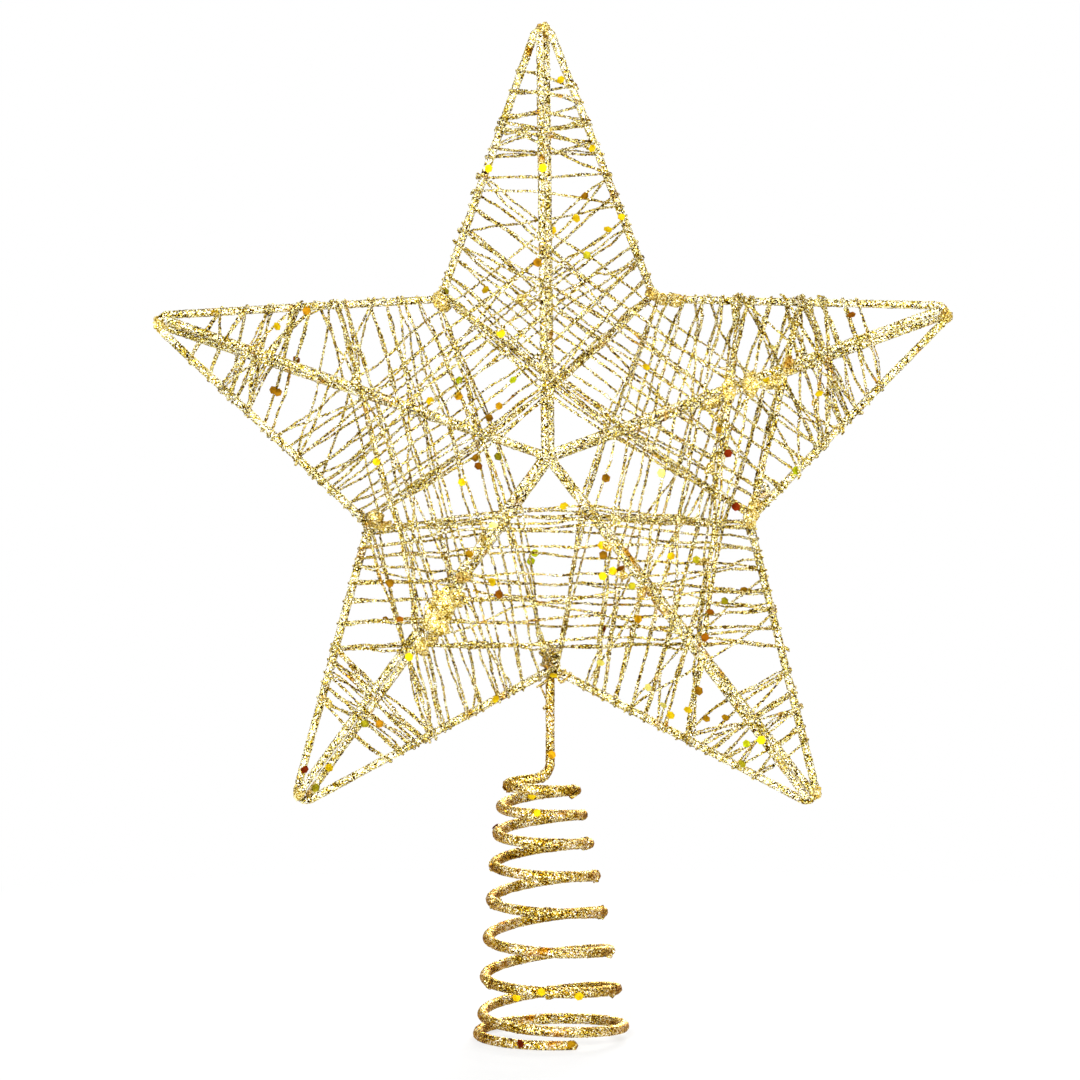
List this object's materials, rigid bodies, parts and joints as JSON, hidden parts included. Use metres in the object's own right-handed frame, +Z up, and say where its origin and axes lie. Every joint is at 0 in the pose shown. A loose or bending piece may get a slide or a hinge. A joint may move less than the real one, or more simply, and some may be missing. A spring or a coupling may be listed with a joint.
{
  "type": "tree topper",
  "caption": "Hollow five-pointed star of glittered wire, wound with thin wire, standing on a conical wire coil that slips over a tree's top shoot.",
  "frame": {"origin": "on the ground under the middle of the coil, which is also under the middle of the star", "axes": "+Z up, +Y towards the star's back, +X to the right when the star is seen from the front"},
  "size_m": [0.2007, 0.0478, 0.2556],
  "materials": {
    "outline_wire": "pale gold glitter over steel wire",
    "ridge_wire": "pale gold glitter over steel wire",
    "thread": "gold glitter over thin steel wire",
    "lashing_thread": "dark gold glitter and glue over thin steel wire",
    "coil_wire": "deep gold glitter over steel wire"
  },
  "bodies": {
    "base": {"coil_and_stem": "coil_wire"},
    "star": {"star_outline": "outline_wire", "front_ridge_top": "ridge_wire", "front_ridge_right": "ridge_wire", "front_ridge_lower_right": "ridge_wire", "front_ridge_lower_left": "ridge_wire", "front_ridge_left": "ridge_wire", "back_ridge_top": "ridge_wire", "back_ridge_right": "ridge_wire", "back_ridge_lower_right": "ridge_wire", "back_ridge_lower_left": "ridge_wire", "back_ridge_left": "ridge_wire", "front_apex_bead": "ridge_wire", "back_apex_bead": "ridge_wire", "web_upper_right": "thread", "web_right": "thread", "web_bottom": "thread", "web_left": "thread", "web_upper_left": "thread", "tip_wrap_top": "thread", "tip_wrap_right": "thread", "tip_wrap_lower_right": "thread", "tip_wrap_lower_left": "thread", "tip_wrap_left": "thread", "stem_lashing": "lashing_thread"}
  },
  "joints": [
    {"name": "coil_press", "type": "slide", "parent": "base", "child": "star", "axis": [0, 0, 1], "range_m": [-0.015, 0.01], "stiffness_N_per_m": 900, "springref_m": 0.0005, "deforming": ["coil_and_stem"]}
  ]
}
